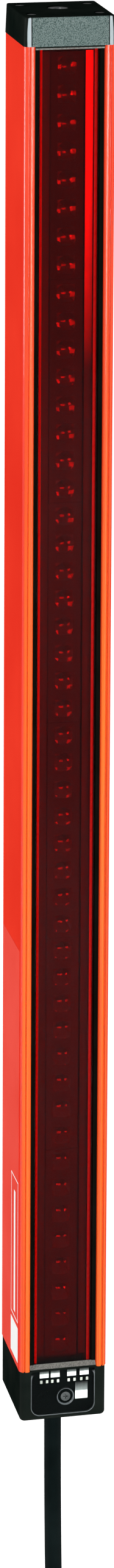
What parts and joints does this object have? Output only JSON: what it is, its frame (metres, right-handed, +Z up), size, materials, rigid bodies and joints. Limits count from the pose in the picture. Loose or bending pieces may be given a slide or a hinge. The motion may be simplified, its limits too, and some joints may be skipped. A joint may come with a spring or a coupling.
{
  "type": "safety light curtain",
  "caption": "Tall square-section optical bar with a row of lenses behind a dark red window, black end caps, indicator window and a cable with a round plug.",
  "frame": {"origin": "on the rear face at the mouth of the mounting slot, half-way up the profile", "axes": "+Z up along the bar towards the top cap, +Y out of the rear face, -Y the side that the beams leave from, +X to the right seen from the front"},
  "size_m": [0.0606, 0.0646, 1.345],
  "materials": {
    "red_paint": "red powder coat on extruded aluminium, smooth, half gloss",
    "window_red": "dark red see-through plastic, polished",
    "black_rubber": "black elastomer",
    "optic_black": "black moulded plastic, non-reflecting",
    "lens_clear": "clear moulded acrylic",
    "board_green": "green solder mask on glass-fibre laminate",
    "chip_dark": "dark moulded electronic parts",
    "cap_black": "black glass-filled plastic with a fine grain",
    "steel": "zinc-plated steel",
    "cover_dark": "smoked clear plastic, polished",
    "panel_black": "black moulded plastic",
    "field_white": "white printed field",
    "guide_clear": "clear light guide",
    "lamp_clear": "frosted clear plastic light window",
    "led_white": "small light-emitting diodes",
    "cable_black": "black PVC sheath",
    "plug_metal": "nickel-plated brass",
    "pin_gold": "gold-plated contacts",
    "film_red": "red adhesive film, glossy"
  },
  "bodies": {
    "root": {"housing_profile": "red_paint", "front_window": "window_red", "gasket_right": "black_rubber", "gasket_left": "black_rubber", "optics_carrier_1": "optic_black", "lens_strip_1": "lens_clear", "optics_board_1": "board_green", "diodes_1": "chip_dark", "optics_carrier_2": "optic_black", "lens_strip_2": "lens_clear", "optics_board_2": "board_green", "diodes_2": "chip_dark", "optics_carrier_3": "optic_black", "lens_strip_3": "lens_clear", "optics_board_3": "board_green", "diodes_3": "chip_dark", "optics_carrier_4": "optic_black", "lens_strip_4": "lens_clear", "optics_board_4": "board_green", "diodes_4": "chip_dark", "optics_carrier_5": "optic_black", "lens_strip_5": "lens_clear", "optics_board_5": "board_green", "diodes_5": "chip_dark", "optics_carrier_6": "optic_black", "lens_strip_6": "lens_clear", "optics_board_6": "board_green", "diodes_6": "chip_dark", "module_links": "chip_dark", "control_board": "board_green", "control_parts": "chip_dark", "top_cap": "cap_black", "top_cap_seal": "black_rubber", "top_cap_screws": "steel", "pivot_insert": "steel", "bottom_cap": "cap_black", "bottom_cap_seal": "black_rubber", "bottom_cap_screws": "steel", "indicator_cover": "cover_dark", "indicator_screw": "steel", "display_panel": "panel_black", "legend_fields": "field_white", "light_guides": "guide_clear", "indicator_lenses": "lamp_clear", "indicator_leds": "led_white", "indicator_board": "board_green", "cable_grommet": "black_rubber", "strain_relief": "panel_black", "cable": "cable_black", "plug_body": "plug_metal", "plug_ring": "plug_metal", "plug_insert": "panel_black", "plug_pins": "pin_gold", "side_film": "film_red"}
  },
  "joints": []
}
